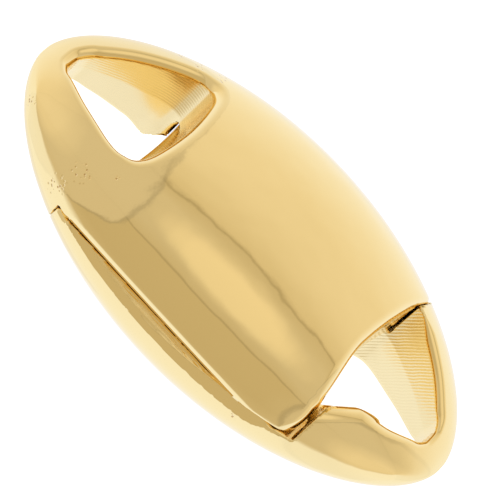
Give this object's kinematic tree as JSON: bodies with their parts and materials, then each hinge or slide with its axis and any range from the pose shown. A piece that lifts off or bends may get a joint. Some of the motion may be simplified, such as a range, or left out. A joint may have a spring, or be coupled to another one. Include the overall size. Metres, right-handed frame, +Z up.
{
  "type": "magnetic clasp",
  "caption": "Lens-shaped magnetic clasp in two cast halves, each with a rounded-triangle strap loop at its end and a tongue that holds to the other by a disc magnet.",
  "frame": {"origin": "on the surface that the clasp rests on, below the middle of the lens", "axes": "+X along the clasp from the upper half's loop to the lower half's loop, +Z up through the domed tongue"},
  "size_m": [0.04, 0.0218, 0.0122],
  "materials": {
    "gold_plating": "polished gold plating on a zinc die casting",
    "magnet_plating": "satin nickel plating"
  },
  "bodies": {
    "lower": {"lower_half": "gold_plating", "lower_magnet": "magnet_plating"},
    "upper": {"upper_half": "gold_plating", "upper_magnet": "magnet_plating"}
  },
  "joints": [
    {"name": "upper_lift", "type": "slide", "parent": "lower", "child": "upper", "axis": [-0.0419, 0, 0.9991], "range_m": [0, 0.015]}
  ]
}
